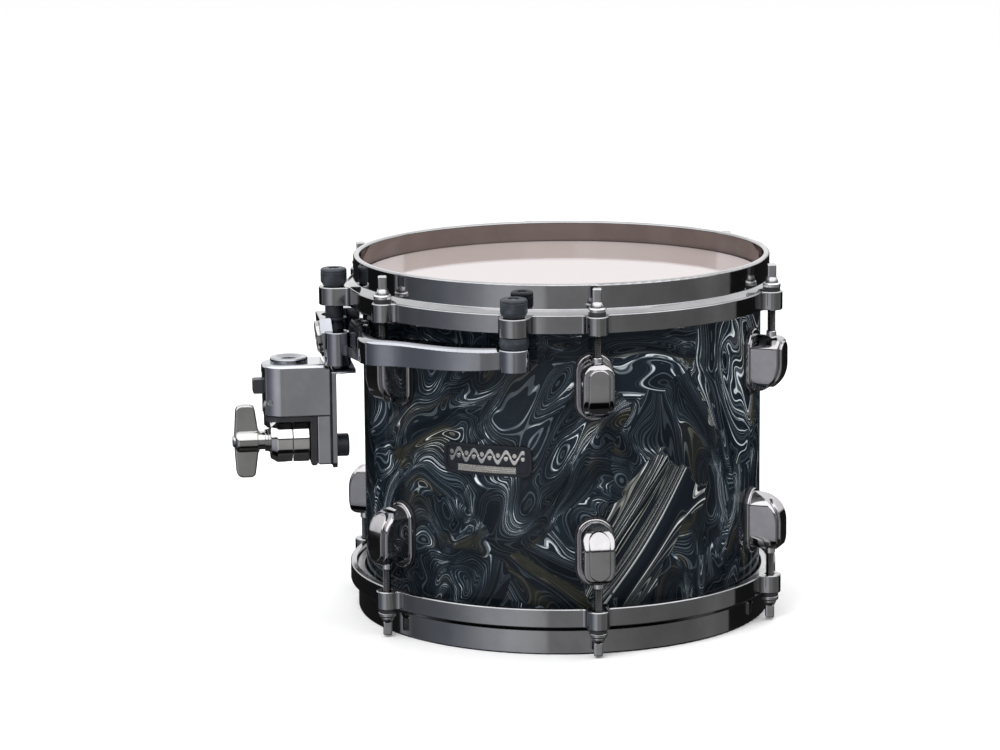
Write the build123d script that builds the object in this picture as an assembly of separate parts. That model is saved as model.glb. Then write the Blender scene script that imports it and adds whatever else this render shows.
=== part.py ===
from build123d import *
import os
from math import cos, hypot, radians, sin

# A small rack tom: a wrapped wooden shell with a head and a die-cast hoop at each end, six lugs and
# six tension rods a side, and a suspension mount that hangs the drum from its batter hoop.
# Millimetres. +Z is up along the drum's axis and the mount is on the -X side.
# Every Z below is measured from the drum's mid plane; finished parts are lifted by MID, which puts
# the origin at the centre of the lower rim's plane.

# ---------------------------------------------------------------- driving dimensions
MID = 115.1                      # half the height over both rims
SIDES = 6                        # lugs and rods on each side
ROD_ANGLES = [30 + 360 / SIDES * i for i in range(SIDES)]
ROD_CIRCLE = 140.9
CLEAR = 0.02                     # gap left between pieces that rest on each other

SHELL_HALF = 101.6
SHELL_R = 126.9
SHELL_WALL = 5.5
EDGE_R = 125.4                   # crest of the bearing edge
WRAP_T = 0.5
WRAP_HALF = 98.5
WRAP_R = SHELL_R + WRAP_T

RIM_R = 132.9                    # hoop's upright band, outside
RIM_BORE_R = 128.9
SHOULDER_R = 136.8               # foot of the slope between the band and the flange
SHOULDER_Z = 99.9
FLANGE_R = 137.8
FLANGE_TOP = 97.0
FLANGE_BOTTOM = 85.2
SKIRT_R = 133.9                  # pocket for the flesh ring
SKIRT_TOP = 95.8
ROD_EAR_R = 6.9
ROD_HOLE_R = 3.3
EAR_BLEND = 2.5

FILM_T = 0.25
FILM_R = 128.35
FILM_BOTTOM = 92.5
FLESH_RING_R = 133.4
FLESH_RING_BOTTOM = 87.6

ROD_R = 2.75                     # 7/32 in thread, drawn as a plain cylinder
ROD_END = 47.0
ROD_COLLAR_R = 4.2
ROD_COLLAR_H = 3.4
ROD_KEY = 5.5
KEY_TURNS = [47, 84, 26, 52, 78, 24]   # where each key's flats came to rest when tuned
ROD_KEY_TOP = 113.7
WASHER_R = 5.6
NYLON_H = 2.3
STEEL_H = 2.9

LUG_TOP = 68.6                   # crown of the arched rod entry end
LUG_BOTTOM = 32.4
LUG_W = 19.6
LUG_NOSE_R = 149.9               # furthest face from the drum's axis
LUG_BODY_R = 148.4
LUG_SWEEP = 18.5                 # radius of the sweep from the front down to the shell
LUG_FACET_W = 13.0
LUG_FACET_ROUND = 0.8
LUG_BODY_ROUND = 1.5
FOOT_TOP = 72.0
FOOT_BOTTOM = 30.6
FOOT_W = 22.6
FOOT_T = 2.0
GASKET_T = 1.0
LUG_BACK_R = WRAP_R + GASKET_T
NUT_R = 4.6
NUT_TIP_R = 3.2
NUT_H = 14.0
NUT_ROOF = 3.6                   # metal left above the nut
NUT_TIP_H = 3.0
RUNNING = 0.05                   # radial clearance of a thread or a pivot
LUG_SCREW_ZS = [40.0, 58.0]
LUG_SCREW_R = 2.0

VENT_ANGLE = 60
VENT_R = 5.0
BADGE_ANGLE = 240
BADGE_Z = 4.6
BADGE_W = 58.0
BADGE_H = 19.0
BADGE_T = 1.2

# suspension mount
MOUNT_ANGLES = [110, 180, 250]
MOUNT_CIRCLE = 146.0
MOUNT_EAR_R = 9.6
MOUNT_HOLE_R = 5.0
CAP_R = 8.35
CAP_TOP = 108.5
BOSS_R = 9.9
BOSS_TOP = 78.0
BOSS_BOTTOM = 64.6
ARM_TOP = 78.6
ARM_CROWN = 3.2                  # rounding of the outer top edge
ARM_SEAT = 74.8                  # under the heads of the arm screws
ARM_BOTTOM = 62.8                # at the casting; the bar tapers upwards to the ear
ARM_TAPER = 3.4
POST_R = 8.0
POST_X = -145.0
POST_TOP = 67.0
POST_BOTTOM = 46.2
BARREL_R = 8.2                   # upright barrels at both ends of the casting
BARREL_AT = (-146.0, -20.5)
BARREL_TOP = 71.2
BARREL_BOTTOM = 50.0
TRAY_T = 6.4
BOLT_R = 2.5
PLATE_BOLT_X = -141.5            # the bolt that hangs the plate from the post

PLATE_X = -149.8                 # outer face of the steel plate
PLATE_T = 2.8
PLATE_W = 36.0
PLATE_BOTTOM = -18.2
BLOCK_NOSE_X = -193.3
BLOCK_TOP = 49.0
BLOCK_BOTTOM = 15.4
BLOCK_W = 30.0
BORE_X = -175.6                  # axis of the support rod
SUPPORT_BORE_R = 5.4
SLEEVE_R = 12.0                  # its flange
SLEEVE_BODY_R = 7.8
SLEEVE_TOP = 52.4
LINER_T = 3.0
CLAMP_Z = -1.6                   # axis of the clamp and wing nut
BUMPER_Z = -6.4
JAW_R = 14.3
JAW_SPLIT_X = -174.75
JAW_GAP = 0.6
JAW_LEFT_X = -188.6
JAW_RIGHT_X = -164.0
BODY_GASKET_T = 1.2
BODY_X = PLATE_X - BODY_GASKET_T - CLEAR   # face of the body on its gasket
LEG_X = -159.4                   # clamp side of the leg
LEG_BOTTOM = -16.1
EYE_R = 9.4
EYE_H = 8.0
STUD_R = 4.0                     # M8 thread, drawn as a plain cylinder
WING_SPAN = 47.0
WING_LEFT_X = -211.7
WING_HUB_X = -195.5
WING_RIGHT_X = -190.7
LEVER_PIN = (-188.6, 25.0)       # X and Z of the lever's pivot
LEVER_PIN_HALF = 11.8
LEVER_W = 9.0
LEVER_TAB_X = -199.0
FINGER_W = 4.0                   # the lever's lock finger
SLOT_W = 9.6
SLOT_TOP = 43.0
SPRING_COIL_R = 2.4


# ---------------------------------------------------------------- helpers
def face(corners, plane):
    """A closed outline of (across, up, corner radius) on a plane."""
    points = [plane.from_local_coords((a, b)) for a, b, _ in corners]
    return make_face(FilletPolyline(points, radius=[r for *_, r in corners], close=True))


def turned(corners):
    """A (radius, z, corner radius) outline turned about the drum's axis."""
    return revolve(face(corners, Plane.XZ), Axis.Z)


def prism_x(outline, x0, x1):
    """An outline drawn on the YZ plane, as a solid from x0 to x1."""
    return Pos(x0, 0, 0) * extrude(outline, x1 - x0, dir=(1, 0, 0))


def prism_y(outline, y0, y1):
    """An outline drawn on the XZ plane, as a solid from y0 to y1."""
    return Pos(0, y0, 0) * extrude(outline, y1 - y0, dir=(0, 1, 0))


def prism_z(outline, z0, z1):
    """An outline drawn on the XY plane, as a solid from z0 to z1."""
    return Pos(0, 0, z0) * extrude(outline, z1 - z0, dir=(0, 0, 1))


def rod(radius, z0, z1, x=0.0, y=0.0):
    """A vertical cylinder from z0 to z1."""
    return Pos(x, y, (z0 + z1) / 2) * Cylinder(radius, z1 - z0)


def bar_x(radius, x0, x1, y=0.0, z=0.0):
    """A cylinder along X from x0 to x1."""
    return Pos((x0 + x1) / 2, y, z) * Rot(0, 90, 0) * Cylinder(radius, abs(x1 - x0))


def bar_y(radius, y0, y1, x=0.0, z=0.0):
    """A cylinder along Y from y0 to y1."""
    return Pos(x, (y0 + y1) / 2, z) * Rot(90, 0, 0) * Cylinder(radius, abs(y1 - y0))


def block(x0, x1, y0, y1, z0, z1):
    """A box given by its limits."""
    return Pos((x0 + x1) / 2, (y0 + y1) / 2, (z0 + z1) / 2) * Box(x1 - x0, y1 - y0, z1 - z0)


def around(piece, angles):
    """Copies of a piece made on the +X side, one at each angle round the drum."""
    return [Rot(0, 0, a) * piece for a in angles]


def polar(radius, angle):
    """The X and Y of a point round the drum."""
    return radius * cos(radians(angle)), radius * sin(radians(angle))


def lower(pieces):
    """The same pieces at the resonant end, mirrored in the mid plane."""
    return [mirror(p, Plane.XY) for p in pieces]


def solids_of(pieces):
    found = []
    for piece in pieces:
        found += piece.solids()
    return found


def save(name, *pieces):
    """One STEP per node, in the row frame."""
    solids = solids_of(pieces)
    lifted = [Pos(0, 0, MID) * s for s in solids]
    node = lifted[0] if len(lifted) == 1 else Compound(children=lifted)
    node.label = name
    export_step(node, f"parts/{name}.step")


# ---------------------------------------------------------------- shell
def shell():
    inner = SHELL_R - SHELL_WALL
    crest = SHELL_HALF - (EDGE_R - 0.5 - inner)
    half = [(inner, crest, 0), (EDGE_R - 0.5, SHELL_HALF, 0), (EDGE_R + 0.1, SHELL_HALF, 0.05),
            (SHELL_R, SHELL_HALF - 2.0, 0.8)]
    mirrored = [(r, -z, f) for r, z, f in reversed(half)]
    return turned(half + mirrored) - wall_drills()


def wrap():
    tube = rod(WRAP_R, -WRAP_HALF, WRAP_HALF) - rod(SHELL_R, -WRAP_HALF - 1, WRAP_HALF + 1)
    return tube - wall_drills()


def wall_drills():
    """Cutters for the lug screws' holes and the air vent."""
    drills = []
    for z in LUG_SCREW_ZS:
        drills += around(bar_x(LUG_SCREW_R + 0.3, SHELL_R - 10, SHELL_R + 10, 0, z), ROD_ANGLES)
    vent = Rot(0, 0, VENT_ANGLE) * bar_x(VENT_R + RUNNING, SHELL_R - 15, SHELL_R + 10)
    return drills + lower(drills) + [vent]


def vent_grommet():
    """A brass eyelet through the wall, with a flange on the outside."""
    inner = SHELL_R - SHELL_WALL
    tube = bar_x(VENT_R, inner - 1.5, WRAP_R + 1.5)
    flange = bar_x(VENT_R + 3, WRAP_R - 0.2, WRAP_R + 1.5) - rod(WRAP_R + CLEAR, -20, 20)
    lip = bar_x(VENT_R + 1.5, inner - 1.5, inner - 0.2)
    lip = lip & rod(inner - CLEAR, -20, 20)
    bore = bar_x(VENT_R - 1.2, inner - 5, WRAP_R + 5)
    return Rot(0, 0, VENT_ANGLE) * (tube + flange + lip - bore)


def badge():
    """A plain plate that follows the shell, with a raised border and two tongues."""
    oval = RectangleRounded(BADGE_W, BADGE_H, 5)
    window = RectangleRounded(BADGE_W - 4, BADGE_H - 4, 3.5)
    far = SHELL_R + 20
    plate = prism_x(Plane.YZ * oval, SHELL_R - 10, far)
    frame = prism_x(Plane.YZ * (oval - window), SHELL_R - 10, far)
    bar = prism_x(Plane.YZ * RectangleRounded(BADGE_W - 16, 4.5, 2.2), SHELL_R - 10, far)
    back = rod(WRAP_R + CLEAR, -30, 30)
    base = (plate - back) & rod(WRAP_R + BADGE_T, -30, 30)
    raised = ((frame + bar) - back) & rod(WRAP_R + BADGE_T + 0.7, -30, 30)
    return Rot(0, 0, BADGE_ANGLE) * Pos(0, 0, BADGE_Z) * (base + raised)


# ---------------------------------------------------------------- lugs, made on the +X side
def stadium(width, top, bottom):
    """Front view of a lug part: straight sides with an arch at each end."""
    half = width / 2
    arch = half - 0.4
    corners = [(-half, top), (half, top), (half, bottom), (-half, bottom)]
    return face([(y, z, arch) for y, z in corners], Plane.YZ)


def lug_profile(nose, bottom, sweep):
    """Side view: rounded rod entry, straight down the front, then one sweep in to the shell."""
    back = SHELL_R - 2
    return face([(back, bottom, 0), (nose, bottom, sweep), (nose, LUG_TOP, 4.5), (back, LUG_TOP, 0)],
                Plane.XZ)


def front_rims(piece, nose):
    """The edges round a lug's front face, down to where the sweep meets the arch."""
    return [e for e in piece.edges() if e.length > 0.5 and e.center().X > nose - 8 and abs(e.center().Y) > 1]


def lug():
    far = LUG_NOSE_R + 5
    body = prism_x(stadium(LUG_W, LUG_TOP, LUG_BOTTOM), SHELL_R - 2, far)
    body &= prism_y(lug_profile(LUG_BODY_R, LUG_BOTTOM, LUG_SWEEP), -LUG_W, LUG_W)
    body = fillet(front_rims(body, LUG_BODY_R), LUG_BODY_ROUND)
    step = LUG_NOSE_R - LUG_BODY_R
    rim = (LUG_W - LUG_FACET_W) / 2
    facet = prism_x(stadium(LUG_FACET_W, LUG_TOP - rim, LUG_BOTTOM + rim), SHELL_R + 8, far)
    facet &= prism_y(lug_profile(LUG_NOSE_R, LUG_BOTTOM - step, LUG_SWEEP + step), -LUG_W, LUG_W)
    facet = fillet(front_rims(facet, LUG_NOSE_R), LUG_FACET_ROUND)
    foot = prism_x(stadium(FOOT_W, FOOT_TOP, FOOT_BOTTOM), SHELL_R - 2, LUG_BACK_R + FOOT_T)
    foot = fillet(foot.edges().group_by(Axis.X)[-1], 0.9)
    solid = body + facet + foot
    solid -= rod(LUG_BACK_R, 0, 90)
    roof = LUG_TOP - NUT_ROOF
    solid -= rod(NUT_R + 0.25, roof - NUT_H + 0.5, roof, ROD_CIRCLE)
    solid -= rod(NUT_TIP_R + 0.25, roof - 1, LUG_TOP + 1, ROD_CIRCLE)
    solid -= rod(ROD_R + 1.0, ROD_END - 5, roof - NUT_H + 1, ROD_CIRCLE)
    for z in LUG_SCREW_ZS:
        solid -= bar_x(LUG_SCREW_R, LUG_BACK_R - 1, LUG_BACK_R + 6, 0, z)
    return solid


def lug_gasket():
    plate = prism_x(stadium(FOOT_W + 1.6, FOOT_TOP + 0.8, FOOT_BOTTOM - 0.8), SHELL_R - 6, SHELL_R + 12)
    ring = rod(LUG_BACK_R - CLEAR, 20, 90) - rod(WRAP_R + CLEAR, 10, 95)
    sheet = plate & ring
    for z in LUG_SCREW_ZS:
        sheet -= bar_x(LUG_SCREW_R + 0.3, SHELL_R - 1, LUG_BACK_R + 1, 0, z)
    return sheet


def swivel_nut():
    top = LUG_TOP - NUT_ROOF - 0.2
    nut = rod(NUT_R, top - NUT_H + 1, top, ROD_CIRCLE)
    tip = rod(NUT_TIP_R, top, LUG_TOP + NUT_TIP_H, ROD_CIRCLE)
    tip = chamfer(tip.edges().group_by(Axis.Z)[-1], 0.35)
    return nut + tip - rod(ROD_R + RUNNING, 0, 90, ROD_CIRCLE)


def lug_screw(z):
    inner = SHELL_R - SHELL_WALL
    shank = bar_x(LUG_SCREW_R - RUNNING, inner - 1.2, LUG_BACK_R + 5.5, 0, z)
    head = bar_x(3.6, inner - 3.8, inner - 1.2, 0, z)
    head = fillet(head.edges().group_by(Axis.X)[0], 1.0)
    recess = bar_x(1.6, inner - 4.5, inner - 2.4, 0, z)
    return shank + head - recess


def lug_washer(z):
    inner = SHELL_R - SHELL_WALL
    disc = bar_x(5.0, inner - 1.18, inner + 0.5, 0, z) & rod(inner - CLEAR, 0, 90)
    return disc - bar_x(LUG_SCREW_R + 0.2, inner - 5, inner + 5, 0, z)


# ---------------------------------------------------------------- hoops, heads and rods, batter end
def ear_outline(circle, radius, angle):
    root = FLANGE_R - 6
    neck = Pos((root + circle) / 2, 0) * Rectangle(circle - root, 2 * radius)
    return Rot(0, 0, angle) * (Pos(circle, 0) * Circle(radius) + neck)


def hoop(mount_angles):
    outline = Rot(0, 0, ROD_ANGLES[0]) * Circle(FLANGE_R)
    for angle in ROD_ANGLES:
        outline += ear_outline(ROD_CIRCLE, ROD_EAR_R, angle)
    for angle in mount_angles:
        outline += ear_outline(MOUNT_CIRCLE, MOUNT_EAR_R, angle)
    corners = [v for v in outline.vertices() if abs(hypot(v.X, v.Y) - FLANGE_R) < 0.01]
    outline = fillet(corners, EAR_BLEND)
    flange = prism_z(outline, FLANGE_BOTTOM, FLANGE_TOP)
    flange = fillet(flange.edges().group_by(Axis.Z)[-1], 0.9)
    flange = chamfer(flange.edges().group_by(Axis.Z)[0], 0.5)
    band = turned([(RIM_BORE_R, FLANGE_BOTTOM + 5, 0), (RIM_BORE_R, MID, 1.2), (RIM_R, MID, 1.2),
                   (RIM_R, SHOULDER_Z, 0.5), (SHOULDER_R, FLANGE_TOP, 0), (SHOULDER_R, FLANGE_BOTTOM + 5, 0)])
    spot_faces = around(rod(WASHER_R + 0.3, FLANGE_TOP, SHOULDER_Z + 1, ROD_CIRCLE), ROD_ANGLES)
    solid = flange + band - spot_faces
    solid -= rod(RIM_BORE_R, 0, MID - 5)
    solid -= rod(SKIRT_R, 0, SKIRT_TOP)
    holes = around(rod(ROD_HOLE_R, 0, FLANGE_TOP + 5, ROD_CIRCLE), ROD_ANGLES)
    holes += around(rod(MOUNT_HOLE_R, 0, FLANGE_TOP + 5, MOUNT_CIRCLE), mount_angles)
    return solid - holes


def head_film():
    top = SHELL_HALF + CLEAR + FILM_T
    under = SHELL_HALF + CLEAR
    inside = FILM_R - FILM_T
    return turned([(0, under, 0), (inside, under, 1.4), (inside, FILM_BOTTOM, 0), (FILM_R, FILM_BOTTOM, 0),
                   (FILM_R, top, 1.65), (0, top, 0)])


def flesh_ring():
    inside = FILM_R + CLEAR
    return turned([(inside, FLESH_RING_BOTTOM, 0.8), (inside, SKIRT_TOP - 1.2, 0.5),
                   (inside + 1.0, SKIRT_TOP - CLEAR, 0.5), (FLESH_RING_R, SKIRT_TOP - CLEAR, 0.8),
                   (FLESH_RING_R, FLESH_RING_BOTTOM, 0.8)])


def nylon_washer():
    ring = rod(WASHER_R - 0.2, FLANGE_TOP + CLEAR, FLANGE_TOP + NYLON_H, ROD_CIRCLE)
    return ring - rod(ROD_R + 0.4, FLANGE_TOP - 1, FLANGE_TOP + NYLON_H + 1, ROD_CIRCLE)


def steel_washer():
    low = FLANGE_TOP + NYLON_H + CLEAR
    ring = rod(WASHER_R, low, low + STEEL_H - CLEAR, ROD_CIRCLE)
    ring = fillet(ring.edges().group_by(Axis.Z)[-1], 1.2)
    ring = chamfer(ring.edges().group_by(Axis.Z)[0], 0.3)
    return ring - rod(ROD_R + 0.4, low - 1, low + STEEL_H + 1, ROD_CIRCLE)


def tension_rod(key_turn):
    seat = FLANGE_TOP + NYLON_H + STEEL_H + CLEAR
    shank = rod(ROD_R, ROD_END, seat, ROD_CIRCLE)
    shank = chamfer(shank.edges().group_by(Axis.Z)[0], 0.7)
    collar_top = seat + ROD_COLLAR_H
    profile = face([(0, seat, 0), (ROD_COLLAR_R, seat, 0.2), (ROD_COLLAR_R, seat + 1.0, 0.4),
                    (ROD_KEY / 2 + 0.5, collar_top - 0.6, 1.2), (ROD_KEY / 2 + 0.3, collar_top, 0),
                    (0, collar_top, 0)], Plane.XZ)
    collar = Pos(ROD_CIRCLE, 0, 0) * revolve(profile, Axis.Z)
    half = ROD_KEY / 2
    key = block(-half, half, -half, half, collar_top - 0.5, ROD_KEY_TOP)
    key = fillet(key.edges().filter_by(Axis.Z), 0.5)
    key = fillet(key.edges().group_by(Axis.Z)[-1], 0.7)
    return shank + collar + Pos(ROD_CIRCLE, 0, 0) * Rot(0, 0, key_turn) * key


# ---------------------------------------------------------------- suspension mount
def mount_cap():
    low = FLANGE_TOP + CLEAR
    profile = face([(0, low - 5, 0), (MOUNT_HOLE_R - 0.1, low - 5, 0.4), (MOUNT_HOLE_R - 0.1, low, 0),
                    (6.4, low, 0.3), (CAP_R, low + 3.0, 1.2), (CAP_R, CAP_TOP - 2.6, 0.2),
                    (CAP_R - 0.25, CAP_TOP - 2.35, 0), (CAP_R, CAP_TOP - 2.1, 0.2), (CAP_R, CAP_TOP, 1.6),
                    (0, CAP_TOP, 0)], Plane.XZ)
    cap = Pos(MOUNT_CIRCLE, 0, 0) * revolve(profile, Axis.Z)
    cap -= rod(3.5, CAP_TOP - 3.2, CAP_TOP + 1, MOUNT_CIRCLE)
    return cap - rod(BOLT_R + 0.1, low - 10, CAP_TOP + 1, MOUNT_CIRCLE)


def mount_bolt(end):
    """Socket-head bolt down through the cap, the ear and the spacer into the arm."""
    seat = CAP_TOP - 3.18
    head = rod(3.3, seat, seat + 2.5, MOUNT_CIRCLE)
    head = fillet(head.edges().group_by(Axis.Z)[-1], 0.4)
    socket = Pos(MOUNT_CIRCLE, 0, seat + 1) * extrude(RegularPolygon(1.5, 6), 3)
    return head - socket + rod(BOLT_R, end, seat, MOUNT_CIRCLE)


def side_spacer():
    top = FLANGE_BOTTOM - CLEAR
    low = BOSS_TOP + CLEAR
    profile = face([(0, low, 0), (8.6, low, 0.8), (9.2, (low + top) / 2, 2), (8.6, top, 0.8),
                    (MOUNT_HOLE_R - 0.1, top, 0), (MOUNT_HOLE_R - 0.1, top + 5, 0.4), (0, top + 5, 0)],
                   Plane.XZ)
    body = Pos(MOUNT_CIRCLE, 0, 0) * revolve(profile, Axis.Z)
    return body - rod(BOLT_R + 0.1, low - 1, top + 10, MOUNT_CIRCLE)


def centre_spacer():
    top = FLANGE_BOTTOM - CLEAR
    low = POST_TOP + CLEAR
    mid = (top + low) / 2
    profile = face([(0, low, 0), (6.4, low, 0.5), (5.8, mid - 2.5, 1), (5.8, mid - 0.7, 0),
                    (8.0, mid - 0.7, 0.3), (8.0, mid + 0.7, 0.3), (5.8, mid + 0.7, 0), (5.8, top - 1, 0.3),
                    (6.1, top, 0.3), (MOUNT_HOLE_R - 0.1, top, 0), (MOUNT_HOLE_R - 0.1, top + 5, 0.4),
                    (0, top + 5, 0)], Plane.XZ)
    body = Pos(MOUNT_CIRCLE, 0, 0) * revolve(profile, Axis.Z)
    return body - rod(BOLT_R + 0.1, low - 1, top + 10, MOUNT_CIRCLE)


ARM_PATH = [(247, 141.5, 151.5), (242, 141.0, 156.2), (235, 142.6, 158.0), (227, 142.8, 157.4),
            (221, 146.5, 158.8), (216, 152.0, 163.6), (212, 152.2, 162.6), (207, 150.6, 155.2),
            (201, 140.4, 147.6), (195, 131.8, 143.4), (189, 130.6, 141.4)]

ARM_SCREWS = [(192.5, 134.4), (198.5, 138.4)]


def arm():
    """The bar from the front ear round the outside of a lug to the centre casting."""
    outer = [polar(far, a) for a, _, far in ARM_PATH]
    inner = [polar(near, a) for a, near, _ in reversed(ARM_PATH)]
    ends = [Line(outer[-1], inner[0]), Line(inner[-1], outer[0])]
    outline = make_face([Spline(*outer), ends[0], Spline(*inner), ends[1]])
    bar = prism_z(outline, ARM_BOTTOM, ARM_TOP)
    bar = fillet(bar.edges().group_by(Axis.Z)[-1].sort_by(SortBy.LENGTH)[-1], ARM_CROWN)
    taper = face([(-170, ARM_BOTTOM - 9, 0), (-50, ARM_BOTTOM - 9, 0), (-50, ARM_BOTTOM + ARM_TAPER, 0),
                  (-134, ARM_BOTTOM, 0), (-170, ARM_BOTTOM, 0)], Plane.XZ)
    bar -= prism_y(taper, -170, 0)
    boss_at = polar(MOUNT_CIRCLE, MOUNT_ANGLES[2])
    boss = rod(BOSS_R, BOSS_BOTTOM, BOSS_TOP, *boss_at)
    boss = fillet(boss.edges().group_by(Axis.Z)[-1], 0.9)
    solid = bar - rod(BOSS_R + 0.8, BOSS_TOP - 1.5, ARM_TOP + 1, *boss_at) + boss
    solid -= rod(BOLT_R + RUNNING, BOSS_BOTTOM + 2, BOSS_TOP + 1, *boss_at)
    solid -= rod(BARREL_R + 0.8, ARM_BOTTOM - 1, ARM_TOP + 1, *BARREL_AT)
    for angle, radius in ARM_SCREWS:
        solid -= rod(2.2, ARM_BOTTOM - 1, ARM_TOP + 1, *polar(radius, angle))
        solid -= rod(3.5, ARM_SEAT, ARM_TOP + 1, *polar(radius, angle))
    return solid


def arm_screw(angle, radius):
    x, y = polar(radius, angle)
    head = rod(3.2, ARM_SEAT + CLEAR, ARM_SEAT + 3.4, x, y)
    head = fillet(head.edges().group_by(Axis.Z)[-1], 0.8)
    socket = Pos(x, y, ARM_SEAT + 1.4) * extrude(RegularPolygon(1.7, 6), 4)
    return head - socket + rod(2.0, ARM_BOTTOM - TRAY_T + 1, ARM_SEAT + CLEAR, x, y)


def centre_casting():
    """Slanted outer wall between two barrels, inner shelf for the arms, and the post for the plate."""
    wall = prism_y(face([(-154.0, BARREL_BOTTOM, 1), (-147.0, BARREL_BOTTOM, 0), (-149.5, ARM_TOP, 1),
                         (-157.0, ARM_TOP, 1.2)], Plane.XZ), -25, 25)
    reach = -BARREL_AT[1]
    front = face([(-reach, BARREL_BOTTOM - 1, 0), (reach, BARREL_BOTTOM - 1, 0), (reach, BARREL_TOP - 1, 0),
                  (14, ARM_TOP + 1, 2), (-14, ARM_TOP + 1, 2), (-reach, BARREL_TOP - 1, 0)], Plane.YZ)
    wall &= prism_x(front, -165, -140)
    shelf_top = ARM_BOTTOM - CLEAR
    shelf = face([(-150.0, -22, 3), (-132.5, -22, 2), (-130.4, -6, 2), (-130.4, 6, 2), (-132.5, 22, 2),
                  (-150.0, 22, 3)], Plane.XY)
    near = polar(ARM_SCREWS[1][1], ARM_SCREWS[1][0])
    plan = shelf
    for side in (-1, 1):
        lobe = Pos(near[0], side * near[1]) * Circle(5.0)
        plan += lobe + make_hull(lobe.edges() + (Pos(-138, -side * 16) * Circle(6)).edges())
    solid = wall + prism_z(plan, shelf_top - TRAY_T, shelf_top)
    solid += rod(POST_R, POST_BOTTOM, POST_TOP, POST_X)
    solid -= rod(POST_R + 1.2, shelf_top - 0.5, ARM_TOP + 1, POST_X) - rod(POST_R, 0, POST_TOP, POST_X)
    for side in (-1, 1):
        barrel = rod(BARREL_R, BARREL_BOTTOM, BARREL_TOP, BARREL_AT[0], side * BARREL_AT[1])
        solid += fillet(barrel.edges().group_by(Axis.Z)[-1], 0.7)
    solid -= rod(BOLT_R + RUNNING, 56, POST_TOP + 1, -MOUNT_CIRCLE)
    solid -= rod(3.0, POST_BOTTOM - 1, 55, PLATE_BOLT_X)
    for angle, radius in ARM_SCREWS:
        x, y = polar(radius, angle)
        solid -= rod(2.0 + RUNNING, 50, 70, x, y)
        solid -= rod(2.0 + RUNNING, 50, 70, x, -y)
    return solid - rod(LUG_BACK_R + 1.2, 0, 90)


def medallion():
    """A plain round boss with two turned rings on the casting's outer face."""
    slope = 90 + 6
    disc = Cylinder(10.0, 2.4)
    disc = fillet(disc.edges().group_by(Axis.Z)[-1], 0.8)
    groove = Pos(0, 0, 1.2) * (Cylinder(8.0, 0.8) - Cylinder(7.0, 0.8))
    dish = Pos(0, 0, 1.2) * Cylinder(4.2, 0.8)
    return Pos(-156.8, 0, 64.5) * Rot(0, -slope, 0) * (disc - groove - dish)

BODY_SCREWS = [(-9.0, 34.0), (9.0, 34.0)]


def bracket_plate():
    inner = PLATE_X + PLATE_T
    top = POST_BOTTOM - CLEAR
    bend = face([(PLATE_X, PLATE_BOTTOM, 0.6), (inner, PLATE_BOTTOM, 0.6), (inner, top - PLATE_T, 0.8),
                 (-134.5, top - PLATE_T, 0.5), (-134.5, top, 0.5), (PLATE_X, top, 2.5)], Plane.XZ)
    half = PLATE_W / 2
    front = face([(-half, PLATE_BOTTOM, 5), (half, PLATE_BOTTOM, 5), (half, top, 3), (-half, top, 3)],
                 Plane.YZ)
    plate = prism_y(bend, -half, half) & prism_x(front, PLATE_X - 1, -130)
    plate -= rod(3.2, top - 5, top + 1, PLATE_BOLT_X)
    for y, z in BODY_SCREWS:
        plate -= bar_x(2.7, PLATE_X - 1, inner + 1, y, z)
        plate -= countersink(y, z, 0.15)
    return plate - bar_x(2.7, PLATE_X - 1, inner + 1, 0, BUMPER_Z)


def countersink(y, z, gap):
    """A cone that flares out to the plate's inner face, a little wider than the screw by the gap."""
    inner = PLATE_X + PLATE_T
    flare = Cone(4.6 + gap, 2.4 + gap, 2.2)
    return Pos(inner - 1.1 + CLEAR, y, z) * Rot(0, -90, 0) * flare


def body_screw(y, z):
    """Countersunk screw, flush with the plate's inner face."""
    inner = PLATE_X + PLATE_T
    head = countersink(y, z, 0) & bar_x(6, inner - 3, inner - 0.1, y, z)
    socket = Pos(inner - 1.6, y, z) * extrude(Plane.YZ * RegularPolygon(1.5, 6), 4)
    return head + bar_x(2.4, PLATE_X - 10, inner - 1.8, y, z) - socket


def post_bolt():
    top = POST_BOTTOM - CLEAR - PLATE_T - CLEAR
    head = rod(4.6, top - 3.0, top, PLATE_BOLT_X)
    head = fillet(head.edges().group_by(Axis.Z)[0], 1.4)
    socket = Pos(PLATE_BOLT_X, 0, top - 4) * extrude(RegularPolygon(1.9, 6), 2.6)
    return head - socket + rod(3.0 - RUNNING, top, 54, PLATE_BOLT_X)


def bumper():
    """Rubber bumper pushed over a screw head on the inner side of the plate."""
    inner = PLATE_X + PLATE_T
    pad = bar_x(7.35, inner + 2.8, inner + 8.7, 0, BUMPER_Z)
    pad = fillet(pad.edges().group_by(Axis.X)[-1], 1.2)
    foot = bar_x(7.35, inner + CLEAR, inner + 2.8, 0, BUMPER_Z)
    bore = bar_x(4.2, inner - 1, inner + 4.5, 0, BUMPER_Z) + bar_x(2.4, inner, inner + 12, 0, BUMPER_Z)
    return pad + foot - bore


def bumper_screw():
    inner = PLATE_X + PLATE_T
    head = bar_x(4.0, inner + CLEAR, inner + 3.0, 0, BUMPER_Z)
    return head + bar_x(2.5, LEG_X + 1.5, inner + CLEAR, 0, BUMPER_Z)


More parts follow.
